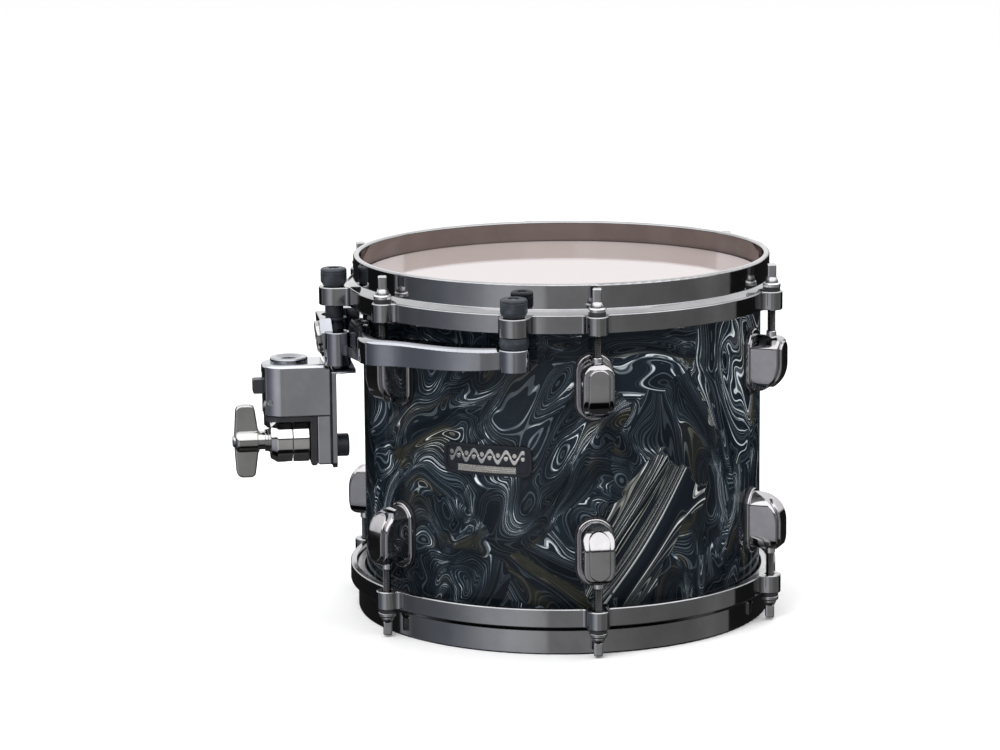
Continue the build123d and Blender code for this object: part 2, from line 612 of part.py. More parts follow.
# ---------------------------------------------------------------- bracket and rod clamp
def bracket_body():
    half = BLOCK_W / 2
    right = BODY_X
    plan = face([(right, -half, 0), (right, half, 0), (BLOCK_NOSE_X, half, 13.5),
                 (BLOCK_NOSE_X, -half, 13.5)], Plane.XY)
    solid = prism_z(plan, BLOCK_BOTTOM, BLOCK_TOP)
    solid = fillet(solid.edges().group_by(Axis.Z)[-1].filter_by(lambda e: e.center().X < right - 1), 2.6)
    solid = chamfer(solid.edges().group_by(Axis.Z)[0].filter_by(lambda e: e.center().X < right - 1), 1.0)
    leg = block(LEG_X, BODY_X, -half + 1, half - 1, LEG_BOTTOM, BLOCK_BOTTOM + 2)
    leg = fillet(leg.edges().filter_by(Axis.Y).group_by(Axis.Z)[0].group_by(Axis.X)[0], 2.0)
    leg = fillet(leg.edges().filter_by(Axis.Z).group_by(Axis.X)[0], 1.2)
    solid += leg
    solid -= block(-154.4, right + 1, -half - 1, half + 1, POST_BOTTOM - 0.3, BLOCK_TOP + 1)
    solid -= rod(SLEEVE_BODY_R + RUNNING, BLOCK_BOTTOM - 1, BLOCK_TOP + 1, BORE_X)
    solid -= block(BLOCK_NOSE_X - 1, BORE_X, -SLOT_W / 2, SLOT_W / 2, BLOCK_BOTTOM - 1, SLOT_TOP)
    solid -= bar_y(1.5 + RUNNING, -half - 1, half + 1, *LEVER_PIN)
    for y, z in BODY_SCREWS:
        solid -= bar_x(2.4 + RUNNING, PLATE_X - 10.5, PLATE_X + 1, y, z)
    return solid - bar_x(2.5 + RUNNING, LEG_X + 1, BODY_X + 1, 0, BUMPER_Z)


def body_gasket():
    """The rubber sheet between the body with its leg and the plate."""
    half = BLOCK_W / 2
    outline = face([(-half, LEG_BOTTOM, 2), (half, LEG_BOTTOM, 2), (half, POST_BOTTOM - 1, 2),
                    (-half, POST_BOTTOM - 1, 2)], Plane.YZ)
    sheet = prism_x(outline, BODY_X + CLEAR, PLATE_X - CLEAR)
    for y, z in BODY_SCREWS + [(0, BUMPER_Z)]:
        sheet -= bar_x(2.7, BODY_X - 1, PLATE_X + 1, y, z)
    return sheet


def rod_sleeve():
    """The flanged bush that guides the support rod."""
    low = BLOCK_BOTTOM + 0.5
    body = rod(SLEEVE_BODY_R, low, BLOCK_TOP, BORE_X)
    flange = rod(SLEEVE_R, BLOCK_TOP + CLEAR, SLEEVE_TOP, BORE_X)
    flange = fillet(flange.edges().group_by(Axis.Z)[-1], 1.3)
    sleeve = body + flange + rod(SLEEVE_BODY_R, BLOCK_TOP - 1, BLOCK_TOP + 1, BORE_X)
    sleeve -= Pos(BORE_X, 0, SLEEVE_TOP - 0.75) * Cone(SUPPORT_BORE_R + 0.4, SUPPORT_BORE_R + 3.4, 1.6)
    sleeve -= rod(SUPPORT_BORE_R, low - 1, SLEEVE_TOP + 1, BORE_X)
    window = block(BORE_X - 12, BORE_X - 3, -FINGER_W / 2 - 0.4, FINGER_W / 2 + 0.4, low - 1,
                   LEVER_PIN[1] - 1.0)
    return sleeve - window


def clamp_liner():
    """Nylon liner over, beside and behind the clamp jaws."""
    half = BLOCK_W / 2 - 1
    top = BLOCK_BOTTOM - CLEAR
    roof = block(-192.0, LEG_X - CLEAR, -half, half, top - LINER_T + CLEAR, top)
    roof = fillet(roof.edges().filter_by(Axis.Z).filter_by(lambda e: e.center().X < -190), 10)
    side = block(JAW_RIGHT_X + 0.4, LEG_X - CLEAR, -half, half, LEG_BOTTOM - 0.6, top - 0.5)
    side = fillet(side.edges().group_by(Axis.Z)[0], 2)
    back = block(-191.5, LEG_X - 2, half - 2.4, half, 3.5, top - 0.5)
    back = chamfer(back.edges().filter_by(Axis.Y).group_by(Axis.Z)[0], 2.5)
    liner = roof + side + back
    liner -= bar_x(JAW_R + 0.25, -195, JAW_RIGHT_X + 0.3, 0, CLAMP_Z)
    liner -= rod(SUPPORT_BORE_R + 0.4, 5, 30, BORE_X)
    liner -= block(-196, BORE_X - SUPPORT_BORE_R, -SLOT_W / 2, SLOT_W / 2, 5, 30)
    return liner - bar_x(4.2, JAW_RIGHT_X - 1, LEG_X + 1, 0, CLAMP_Z)


def jaw_cavity():
    """Room for the support rod and for the eye of the clamp bolt."""
    return rod(SUPPORT_BORE_R + 0.05, -25, 15, BORE_X) + rod(EYE_R + 0.3, CLAMP_Z - EYE_H / 2 - 0.3,
                                                              CLAMP_Z + EYE_H / 2 + 0.3, BORE_X)


def inner_jaw():
    jaw = bar_x(JAW_R, JAW_SPLIT_X + JAW_GAP / 2, JAW_RIGHT_X, 0, CLAMP_Z)
    jaw = fillet(jaw.edges().group_by(Axis.X)[-1], 0.8)
    jaw += bar_x(4.0, JAW_RIGHT_X - 0.1, LEG_X - CLEAR, 0, CLAMP_Z)
    return jaw - jaw_cavity()


def outer_jaw():
    right = JAW_SPLIT_X - JAW_GAP / 2
    profile = face([(0, right, 0), (JAW_R, right, 0), (JAW_R, JAW_LEFT_X + 4.2, 2),
                    (JAW_R - 2.6, JAW_LEFT_X, 0.8), (0, JAW_LEFT_X, 0)], Plane.YX)
    jaw = Pos(0, 0, CLAMP_Z) * revolve(profile, Axis.X)
    return jaw - jaw_cavity() - bar_x(STUD_R + 0.2, JAW_LEFT_X - 1, BORE_X, 0, CLAMP_Z)


def eye_bolt():
    eye = rod(EYE_R, CLAMP_Z - EYE_H / 2, CLAMP_Z + EYE_H / 2, BORE_X)
    eye = chamfer(eye.edges().group_by(Axis.Z)[-1] + eye.edges().group_by(Axis.Z)[0], 0.6)
    stud = bar_x(STUD_R, -212.6, BORE_X - 7, 0, CLAMP_Z)
    stud = chamfer(stud.edges().group_by(Axis.X)[0], 0.9)
    return eye + stud - rod(SUPPORT_BORE_R + 0.1, -25, 15, BORE_X)


def wing_washer():
    ring = bar_x(7.4, JAW_LEFT_X - 1.4, JAW_LEFT_X - CLEAR, 0, CLAMP_Z)
    return ring - bar_x(STUD_R + 0.25, JAW_LEFT_X - 3, JAW_LEFT_X + 1, 0, CLAMP_Z)


def wing_nut():
    """A T-shaped wing on a turned hub; its blades stand up and down at rest."""
    half = WING_SPAN / 2
    left = WING_LEFT_X
    side = [(left + 1.4, half, 4.5), (left + 13.2, half, 3.5), (left + 15.4, 7.6, 1.0),
            (WING_HUB_X, 6.2, 1.0)]
    outline = face([(left, 0, 0)] + side + [(x, -z, r) for x, z, r in reversed(side)], Plane.XZ)
    wing = prism_y(outline, -3.4, 3.4)
    wing = fillet(wing.edges().group_by(Axis.Y)[0] + wing.edges().group_by(Axis.Y)[-1], 1.2)
    barrel = bar_x(7.4, left + 0.8, left + 15.0)
    barrel = fillet(barrel.edges().group_by(Axis.X)[0], 3.0)
    neck = bar_x(5.9, left + 13, WING_RIGHT_X + 0.5)
    seat = bar_x(7.0, WING_RIGHT_X - 1.2, JAW_LEFT_X - 1.42)
    nut = wing + barrel + neck + seat - bar_x(STUD_R + RUNNING, left - 5, JAW_LEFT_X)
    return Pos(0, 0, CLAMP_Z) * nut


def release_lever():
    """Finger tab above the pivot, lock finger below it, in the slot of the block's nose."""
    px, pz = LEVER_PIN
    half = LEVER_W / 2
    side = face([(px - 3.4, pz - 4.2, 1.5), (px + 3.4, pz - 4.2, 1.5), (px + 3.4, pz + 2.0, 1.5),
                 (px + 1.4, pz + 6.0, 1.0), (px + 1.4, pz + 13.6, 1.0), (LEVER_TAB_X, pz + 13.6, 1.0),
                 (LEVER_TAB_X, pz + 4.6, 1.0), (px - 3.4, pz + 4.5, 0.8)], Plane.XZ)
    lever = prism_y(side, -half, half)
    lever += block(px, BORE_X - SUPPORT_BORE_R - 0.3, -FINGER_W / 2, FINGER_W / 2, pz - 4.2, pz - 1.4)
    lever -= bar_y(SPRING_COIL_R + 0.9, half - 3.2, half + 1, px, pz)
    return lever - bar_y(1.5 + RUNNING, -half - 1, half + 1, px, pz)


def lever_spring():
    """A small torsion spring on the pin, in a pocket of the lever."""
    px, pz = LEVER_PIN
    height = 2.3
    path = Helix(pitch=height / 2.5, height=height, radius=SPRING_COIL_R)
    coil = sweep(Plane(path @ 0, z_dir=path % 0) * Circle(0.36), path=path, is_frenet=True)
    return Pos(px, LEVER_W / 2 - 0.5, pz) * Rot(90, 0, 0) * coil


def lever_pin():
    return bar_y(1.5, -LEVER_PIN_HALF, LEVER_PIN_HALF, *LEVER_PIN)


# ---------------------------------------------------------------- write every node
os.makedirs("parts", exist_ok=True)

save("shell", shell())
save("shell_wrap", wrap())
save("vent_grommet", vent_grommet())
save("badge_plate", badge())

lugs = around(lug(), ROD_ANGLES)
gaskets = around(lug_gasket(), ROD_ANGLES)
nuts = around(swivel_nut(), ROD_ANGLES)
save("upper_lugs", *lugs)
save("lower_lugs", *lower(lugs))
save("upper_lug_gaskets", *gaskets)
save("lower_lug_gaskets", *lower(gaskets))
save("upper_swivel_nuts", *nuts)
save("lower_swivel_nuts", *lower(nuts))
screws = [s for z in LUG_SCREW_ZS for s in around(lug_screw(z), ROD_ANGLES)]
washers = [w for z in LUG_SCREW_ZS for w in around(lug_washer(z), ROD_ANGLES)]
save("lug_screws", *screws, *lower(screws))
save("lug_screw_washers", *washers, *lower(washers))

save("batter_hoop", hoop(MOUNT_ANGLES))
save("resonant_hoop", *lower([hoop([])]))
save("batter_head_film", head_film())
save("resonant_head_film", *lower([head_film()]))
save("batter_flesh_ring", flesh_ring())
save("resonant_flesh_ring", *lower([flesh_ring()]))
nylon = around(nylon_washer(), ROD_ANGLES)
steel = around(steel_washer(), ROD_ANGLES)
save("batter_nylon_washers", *nylon)
save("resonant_nylon_washers", *lower(nylon))
save("batter_rod_washers", *steel)
save("resonant_rod_washers", *lower(steel))
for number, (angle, key_turn) in enumerate(zip(ROD_ANGLES, KEY_TURNS), start=1):
    tension = Rot(0, 0, angle) * tension_rod(key_turn)
    save(f"batter_tension_rod_{number}", tension)
    save(f"resonant_tension_rod_{number}", *lower([tension]))

arm_front = arm()
arm_rear = mirror(arm_front, Plane.XZ)
arm_screws = [arm_screw(a, r) for a, r in ARM_SCREWS]
save("mount_caps", *around(mount_cap(), MOUNT_ANGLES))
save("mount_bolts", *around(mount_bolt(BOSS_BOTTOM + 3), MOUNT_ANGLES[::2]),
     *around(mount_bolt(57.0), MOUNT_ANGLES[1:2]))
save("mount_side_spacers", *around(side_spacer(), MOUNT_ANGLES[::2]))
save("mount_centre_spacer", *around(centre_spacer(), MOUNT_ANGLES[1:2]))
save("mount_arm_front", arm_front)
save("mount_arm_rear", arm_rear)
save("mount_arm_screws", *arm_screws, *[mirror(s, Plane.XZ) for s in arm_screws])
save("mount_centre_casting", centre_casting())
save("mount_medallion", medallion())
save("bracket_plate", bracket_plate())
save("post_bolt", post_bolt())
save("bracket_body_screws", *[body_screw(y, z) for y, z in BODY_SCREWS])
save("bracket_body", bracket_body())
save("body_gasket", body_gasket())
save("shell_bumper", bumper())
save("bumper_screw", bumper_screw())
save("rod_sleeve", rod_sleeve())
save("clamp_liner", clamp_liner())
save("clamp_inner_jaw", inner_jaw())
save("clamp_outer_jaw", outer_jaw())
save("clamp_eye_bolt", eye_bolt())
save("wing_washer", wing_washer())
save("wing_nut", wing_nut())
save("release_lever", release_lever())
save("lever_pin", lever_pin())
save("lever_spring", lever_spring())
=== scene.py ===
import math

import bpy
from mathutils import Matrix, Vector


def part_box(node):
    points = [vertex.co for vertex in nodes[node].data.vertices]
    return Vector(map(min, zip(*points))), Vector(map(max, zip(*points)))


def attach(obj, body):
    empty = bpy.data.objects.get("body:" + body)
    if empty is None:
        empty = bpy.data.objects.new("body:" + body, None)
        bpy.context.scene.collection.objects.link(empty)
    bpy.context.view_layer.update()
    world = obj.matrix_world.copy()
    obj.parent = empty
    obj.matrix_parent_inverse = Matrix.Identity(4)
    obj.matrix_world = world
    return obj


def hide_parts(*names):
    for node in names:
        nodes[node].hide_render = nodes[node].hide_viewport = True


# A small rack tom in a studio. The CAD nodes keep their shapes; this script gives them their finishes,
# cuts real threads on the rods, and sets the floor, the lights and the camera. Metres, Z up.

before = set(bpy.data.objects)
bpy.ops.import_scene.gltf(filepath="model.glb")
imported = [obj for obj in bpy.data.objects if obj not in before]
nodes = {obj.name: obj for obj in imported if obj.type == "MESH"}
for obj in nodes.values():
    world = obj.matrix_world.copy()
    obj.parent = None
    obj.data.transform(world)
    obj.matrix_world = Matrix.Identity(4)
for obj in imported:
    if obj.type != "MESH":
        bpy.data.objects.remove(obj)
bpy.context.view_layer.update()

MM = 0.001
WRAP_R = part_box("shell_wrap")[1].x
MID_Z = sum(corner.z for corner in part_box("shell")) / 2

# tension rods: a 7/32 in thread, 24 to the inch, under a collar and a square key
ROD_R = 2.75 * MM
PITCH = 25.4 / 24 * MM
THREAD_DEPTH = 0.45 * MM
COLLAR_H = 3.4 * MM
KEY = 5.5 * MM
KEY_H = 8.08 * MM
KEY_TURNS = [47, 84, 26, 52, 78, 24]
HEAD_H = COLLAR_H + KEY_H
HEAD_REACH = min(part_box("batter_tension_rod_1")[1].z - MID_Z,
                 MID_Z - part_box("resonant_tension_rod_1")[0].z) - HEAD_H
# rings up from the collar's seat: (mm up, radius in mm), then (mm up, scale, squareness)
COLLAR_RINGS = [(0.02, 4.0), (0.25, 4.2), (1.0, 4.2), (2.8, 3.25), (3.4, 3.05)]
KEY_RINGS = [(3.45, 1.0, 9), (5.0, 1.0, 9), (8.0, 1.0, 9), (10.6, 1.0, 9), (11.1, 0.965, 8),
             (11.38, 0.90, 6), (11.48, 0.78, 5)]
TIP_H = 0.8 * MM
TIP_SCALE = 0.78
PLAIN_NECK = 2.0 * MM
THREAD_SEGMENTS = 32
STEPS_A_TURN = 8


# ---------------------------------------------------------------- node graph helpers
class Graph:
    """A material's node tree, with one short call for each kind of node."""

    def __init__(self, tree):
        self.tree = tree
        self.tree.nodes.clear()

    def node(self, kind, **settings):
        made = self.tree.nodes.new(kind)
        for key, value in settings.items():
            setattr(made, key, value)
        return made

    def feed(self, socket, value):
        """Link a socket into an input, or set the input's value."""
        if isinstance(value, bpy.types.NodeSocket):
            self.tree.links.new(value, socket)
        elif isinstance(value, (tuple, list)) and len(value) == 3 and socket.type == "RGBA":
            socket.default_value = (*value, 1.0)
        else:
            socket.default_value = value

    def math(self, operation, a, b=0.0, clamp=False):
        made = self.node("ShaderNodeMath", operation=operation, use_clamp=clamp)
        self.feed(made.inputs[0], a)
        self.feed(made.inputs[1], b)
        return made.outputs[0]

    def vector(self, operation, a, b=(0, 0, 0), scale=None):
        made = self.node("ShaderNodeVectorMath", operation=operation)
        self.feed(made.inputs[0], a)
        if operation not in ("NORMALIZE", "LENGTH", "SCALE"):
            self.feed(made.inputs[1], b)
        if scale is not None:
            self.feed(made.inputs["Scale"], scale)
        return made.outputs["Value" if operation in ("DOT_PRODUCT", "LENGTH") else "Vector"]

    def mix(self, factor, a, b, how="MIX"):
        made = self.node("ShaderNodeMix", data_type="RGBA", blend_type=how, clamp_factor=True)
        self.feed(made.inputs[0], factor)
        self.feed(made.inputs[6], a)
        self.feed(made.inputs[7], b)
        return made.outputs[2]

    def blend(self, factor, a, b):
        """A float between a and b."""
        made = self.node("ShaderNodeMix", data_type="FLOAT", clamp_factor=True)
        self.feed(made.inputs[0], factor)
        self.feed(made.inputs[2], a)
        self.feed(made.inputs[3], b)
        return made.outputs[0]

    def ramp(self, value, stops, smooth=False):
        """Map a value through grey or coloured stops of (position, colour)."""
        made = self.node("ShaderNodeValToRGB")
        made.color_ramp.interpolation = "EASE" if smooth else "LINEAR"
        elements = made.color_ramp.elements
        elements.remove(elements[1])
        elements[0].position = 0.0
        for index, (position, colour) in enumerate(stops):
            element = elements.new(position) if index else elements[0]
            grey = not isinstance(colour, (tuple, list))
            element.color = (colour, colour, colour, 1) if grey else (*colour, 1)
        self.feed(made.inputs[0], value)
        return made.outputs[0]

    def step(self, value, low, high):
        """0 below low, 1 above high, smooth between."""
        made = self.node("ShaderNodeMapRange", interpolation_type="SMOOTHSTEP")
        self.feed(made.inputs[0], value)
        self.feed(made.inputs[1], low)
        self.feed(made.inputs[2], high)
        return made.outputs[0]

    def within(self, value, edge, soft=0.4):
        """1 where the value lies within `edge` of zero and 0 beyond, over a soft border."""
        return self.math("SUBTRACT", 1.0, self.step(self.math("ABSOLUTE", value), edge - soft, edge + soft))

    def pushed(self, place, noise_colour, amount):
        """A place moved about by a noise's colour, up to half the amount each way."""
        centred = self.vector("SUBTRACT", noise_colour, (0.5, 0.5, 0.5))
        return self.vector("ADD", place, self.vector("SCALE", centred, scale=amount))

    def spun(self, place, angle):
        """A place turned about Z."""
        made = self.node("ShaderNodeVectorRotate", rotation_type="Z_AXIS")
        self.feed(made.inputs["Vector"], place)
        self.feed(made.inputs["Angle"], angle)
        return made.outputs[0]

    def place(self):
        """Position in the row frame, in millimetres."""
        coordinates = self.node("ShaderNodeTexCoord").outputs["Object"]
        return self.vector("SCALE", coordinates, scale=1000.0)

    def unrolled(self):
        """Position on the drum's side as (mm round the wrap's surface, height in mm, 0)."""
        x, y, z = self.split(self.place())
        return self.join(self.math("MULTIPLY", self.math("ARCTAN2", y, x), WRAP_R / MM), z, 0.0)

    def split(self, vector, kind="ShaderNodeSeparateXYZ"):
        made = self.node(kind)
        self.feed(made.inputs[0], vector)
        return made.outputs

    def join(self, x=0.0, y=0.0, z=0.0):
        made = self.node("ShaderNodeCombineXYZ")
        for socket, value in zip(made.inputs, (x, y, z)):
            self.feed(socket, value)
        return made.outputs[0]

    def noise(self, place, size, detail=2.0, roughness=0.5, flat=False, distortion=0.0):
        """Noise whose features are about `size` millimetres across. Returns (factor, colour)."""
        made = self.node("ShaderNodeTexNoise", noise_dimensions="2D" if flat else "3D")
        self.feed(made.inputs["Vector"], place)
        self.feed(made.inputs["Scale"], 1.0 / size)
        self.feed(made.inputs["Detail"], detail)
        self.feed(made.inputs["Roughness"], roughness)
        self.feed(made.inputs["Distortion"], distortion)
        return made.outputs["Fac"], made.outputs["Color"]

    def bump(self, height, strength, distance_mm, normal=None):
        made = self.node("ShaderNodeBump")
        self.feed(made.inputs["Strength"], strength)
        self.feed(made.inputs["Distance"], distance_mm * MM)
        self.feed(made.inputs["Height"], height)
        if normal is not None:
            self.feed(made.inputs["Normal"], normal)
        return made.outputs[0]

    def bevel(self, radius_mm):
        made = self.node("ShaderNodeBevel", samples=4)
        self.feed(made.inputs["Radius"], radius_mm * MM)
        return made.outputs[0]

    def surface(self, **inputs):
        """A Principled surface wired to the output. Names are input names with _ for spaces."""
        made = self.node("ShaderNodeBsdfPrincipled")
        for key, value in inputs.items():
            self.feed(made.inputs[key.replace("_", " ")], value)
        out = self.node("ShaderNodeOutputMaterial")
        self.tree.links.new(made.outputs[0], out.inputs[0])
        return made


def material(name, build, *args, **kwargs):
    made = bpy.data.materials.new(name)
    made.use_nodes = True
    build(Graph(made.node_tree), *args, **kwargs)
    return made


# ---------------------------------------------------------------- finishes
def plated(g, colour, roughness=0.06, round_mm=0.45, smudge=0.10, ripple=0.05):
    """Polished plating over a cast body: faint casting ripple, smudges, fine scratches, rounded edges."""
    place = g.place()
    cloud, _ = g.noise(place, 26, 3, 0.6)
    fine, _ = g.noise(place, 1.6, 4, 0.65)
    scratch, _ = g.noise(g.vector("MULTIPLY", place, (1.0, 1.0, 0.08)), 0.35, 2, 0.5)
    tint = g.mix(g.step(cloud, 0.35, 0.7), colour, tuple(c * 0.86 for c in colour))
    rough = g.blend(g.step(cloud, 0.45, 0.75), roughness, roughness + smudge)
    rough = g.math("ADD", rough, g.math("MULTIPLY", g.step(scratch, 0.62, 0.8), 0.07))
    normal = g.bump(g.math("ADD", g.math("MULTIPLY", cloud, 1.0), g.math("MULTIPLY", fine, 0.04)),
                    ripple, 0.6, g.bevel(round_mm))
    g.surface(Base_Color=tint, Metallic=1.0, Roughness=rough, Normal=normal)


def steel(g, colour, roughness=0.24, dark=1.0):
    """Turned or rolled steel: fine rings across the axis, dull patches in the plating.

    `dark` scales the colour between the two rows of rod heads, where the threads are.
    """
    place = g.place()
    rings, _ = g.noise(g.vector("MULTIPLY", place, (0.15, 0.15, 1.0)), 0.22, 2, 0.5)
    cloud, _ = g.noise(place, 5, 3, 0.6)
    tint = g.mix(cloud, colour, tuple(c * 0.7 for c in colour))
    if dark < 1.0:
        _, _, z = g.split(place)
        reach = HEAD_REACH / MM
        away = g.math("ABSOLUTE", g.math("SUBTRACT", z, MID_Z / MM))
        shade = g.mix(g.step(away, reach - 0.3, reach), (dark, dark, dark), (1, 1, 1))
        tint = g.mix(1.0, tint, shade, "MULTIPLY")
    rough = g.blend(rings, roughness - 0.08, roughness + 0.1)
    normal = g.bump(rings, 0.12, 0.05, g.bevel(0.25))
    g.surface(Base_Color=tint, Metallic=1.0, Roughness=rough, Normal=normal)


def rubber(g, colour, roughness=0.42):
    """Moulded rubber: a fine grain and a little dust, paler in patches here and there."""
    place = g.place()
    grain, _ = g.noise(place, 0.5, 3, 0.6)
    cloud, _ = g.noise(place, 7, 3, 0.55)
    dust = g.step(cloud, 0.45, 0.75)
    pale = tuple(c * 1.7 + 0.01 for c in colour)
    rough = g.blend(cloud, roughness - 0.06, roughness + 0.14)
    normal = g.bump(grain, 0.16, 0.08, g.bevel(0.5))
    g.surface(Base_Color=g.mix(dust, colour, pale), Roughness=rough, Normal=normal)


def nylon(g, colour):
    """Moulded nylon: a fine grain and slightly uneven gloss."""
    place = g.place()
    grain, _ = g.noise(place, 0.8, 2, 0.5)
    cloud, _ = g.noise(place, 9, 2, 0.5)
    tint = g.mix(cloud, colour, tuple(c * 1.6 + 0.004 for c in colour))
    normal = g.bump(grain, 0.10, 0.06, g.bevel(0.4))
    g.surface(Base_Color=tint, Roughness=g.blend(cloud, 0.34, 0.5), Normal=normal)


def brass(g):
    """Old brass, unevenly tarnished."""
    place = g.place()
    cloud, _ = g.noise(place, 4, 3, 0.6)
    tint = g.mix(cloud, (0.72, 0.52, 0.22), (0.48, 0.32, 0.12))
    g.surface(Base_Color=tint, Metallic=1.0, Roughness=g.blend(cloud, 0.14, 0.3), Normal=g.bevel(0.4))


def wood(g):
    """Shell plies: long grain round the drum, fine pores, ply lines on the bearing edge."""
    place = g.place()
    x, y, z = g.split(place)
    turn = g.math("ARCTAN2", y, x)
    radius = g.math("SQRT", g.math("ADD", g.math("MULTIPLY", x, x), g.math("MULTIPLY", y, y)))
    flat = g.join(g.math("MULTIPLY", turn, 126.0), z, radius)
    long = g.vector("MULTIPLY", flat, (0.06, 1.0, 0.3))
    grain, _ = g.noise(long, 3.2, 5, 0.6, distortion=0.6)
    pores, _ = g.noise(g.vector("MULTIPLY", flat, (0.08, 1.0, 1.0)), 0.5, 3, 0.6)
    broad, _ = g.noise(long, 22, 2, 0.5)
    tint = g.mix(grain, (0.60, 0.36, 0.27), (0.36, 0.17, 0.11))
    tint = g.mix(g.step(broad, 0.4, 0.7), tint, (0.52, 0.30, 0.22))
    tint = g.mix(g.math("MULTIPLY", g.step(pores, 0.62, 0.75), 0.5), tint, (0.14, 0.06, 0.04))
    ply = g.math("PINGPONG", radius, 0.46)
    edge = g.step(ply, 0.36, 0.46)
    tint = g.mix(g.math("MULTIPLY", edge, 0.35), tint, (0.20, 0.09, 0.05))
    normal = g.bump(g.math("ADD", grain, pores), 0.15, 0.12)
    g.surface(Base_Color=tint, Roughness=g.blend(grain, 0.34, 0.5), Normal=normal, Coat_Weight=0.25,
              Coat_Roughness=0.2)


def swirl(g, place, size, stretch):
    """Contour lines of a folded noise field. Returns (line brightness, the folded place)."""
    long = g.vector("MULTIPLY", place, (1 / stretch, 1.0, 1.0))
    _, first = g.noise(long, size, 1, 0.5, flat=True)
    once = g.pushed(long, first, 2.1 * size)
    _, second = g.noise(once, 0.42 * size, 1, 0.5, flat=True)
    twice = g.pushed(once, second, 0.36 * size)
    field, _ = g.noise(twice, 0.95 * size, 1, 0.4, flat=True)
    line = g.node("ShaderNodeTexNoise", noise_dimensions="1D")
    g.feed(line.inputs["W"], field)
    g.feed(line.inputs["Scale"], LINES_A_FIELD)
    g.feed(line.inputs["Detail"], 2.5)
    g.feed(line.inputs["Roughness"], 0.72)
    return line.outputs["Fac"], twice


# the wrap's pattern, in millimetres on the unrolled surface and degrees
SHEET = 92
SHEET_SHIFT = 900.0
TEAR = 34.0
LINES_A_FIELD = 80.0
PALE_SHEET_AT = (-168.0, -44.0)      # from the unrolled surface's middle
PALE_SHEET_HALF = (47.0, 24.0)
PALE_SHEET_LEAN = 56


def marble(g):
    """Wrap: near-black sheets of pearl with flowing grey, white and blue lines under a clear gloss coat."""
    flat = g.unrolled()

    # torn sheets, each with its own piece of the pattern
    _, wander = g.noise(flat, 26, 3, 0.55, flat=True)
    torn = g.pushed(flat, wander, TEAR)
    cell = g.node("ShaderNodeTexVoronoi", voronoi_dimensions="2D", feature="F1")
    g.feed(cell.inputs["Vector"], torn)
    g.feed(cell.inputs["Scale"], 1 / SHEET)
    sheet = cell.outputs["Color"]
    red, green, _ = g.split(sheet, "ShaderNodeSeparateColor")
    shifted = g.vector("ADD", flat, g.vector("SCALE", sheet, scale=SHEET_SHIFT))
    turned = g.spun(shifted, g.math("MULTIPLY", red, 4.0))

    # one large pale sheet low on the front, its lines running up to the right
    at, up = PALE_SHEET_AT
    centre = (at, MID_Z / MM + up, 0.0)
    lean = math.radians(-PALE_SHEET_LEAN)
    outline = g.spun(g.vector("SUBTRACT", torn, centre), lean)
    grain = g.spun(g.vector("SUBTRACT", flat, centre), lean)
    along, across, _ = g.split(outline)
    half_length, half_width = PALE_SHEET_HALF
    inside = g.within(g.math("SUBTRACT", across, 2.0), half_width)
    patch = g.math("MULTIPLY", g.within(along, half_length), inside)
    source = g.mix(patch, turned, g.vector("MULTIPLY", grain, (0.42, 1.0, 1.0)))
    line, folded = swirl(g, source, 56, 2.2)

    # lines come and go along their length
    alive, _ = g.noise(folded, 25, 2, 0.5, flat=True)
    streak, _ = g.noise(folded, 5, 2, 0.5, flat=True)
    hue, _ = g.noise(folded, 30, 1, 0.5, flat=True)
    bright_sheet = g.math("MULTIPLY", g.step(green, 0.72, 0.76), 0.45)
    strong = g.math("ADD", g.step(alive, 0.42, 0.68), bright_sheet)
    strong = g.math("MAXIMUM", strong, g.math("MULTIPLY", patch, 0.9))
    thin = g.math("MULTIPLY", g.step(line, 0.53, 0.60), g.blend(strong, 0.16, 1.0))
    thin = g.math("MULTIPLY", thin, g.blend(g.step(streak, 0.3, 0.7), 0.45, 1.0))
    spark = g.step(g.math("MULTIPLY", strong, streak), 0.30, 0.52)
    white = g.math("MULTIPLY", g.step(line, 0.60, 0.68), spark)

    cool = g.mix(g.step(alive, 0.3, 0.75), (0.0025, 0.0045, 0.0068), (0.0095, 0.0145, 0.021))
    dark = g.mix(g.step(hue, 0.60, 0.74), cool, (0.013, 0.013, 0.011))
    warm = g.math("MAXIMUM", g.step(hue, 0.56, 0.70), g.math("MULTIPLY", patch, 0.85))
    pearl = g.mix(warm, (0.145, 0.185, 0.215), (0.20, 0.20, 0.165))
    tint = g.mix(g.math("MULTIPLY", thin, 0.85), dark, pearl)
    tint = g.mix(g.math("MULTIPLY", white, 0.9), tint, (0.66, 0.70, 0.72))

    wave, _ = g.noise(flat, 34, 1, 0.5, flat=True)
    g.surface(Base_Color=tint, Roughness=0.4, Specular_IOR_Level=0.0, Coat_Weight=0.3, Coat_Roughness=0.03,
              Coat_IOR=1.5, Coat_Normal=g.bump(wave, 0.03, 1.0))


# the badge's ornament, in millimetres from the middle of the plate
SCROLL_PITCH = 10.4
SCROLL_UP = 2.5
SCROLL_TALL = 3.3
SCROLL_HALF_LENGTH = 24.5
SCROLL_HALF_STROKE = 1.35
PEARL_R = 1.35
BAR_DOWN = 5.6
BAR_HALF_HEIGHT = 1.9
BAR_HALF_LENGTH = 19.0
RIDGE_PITCH = 0.6


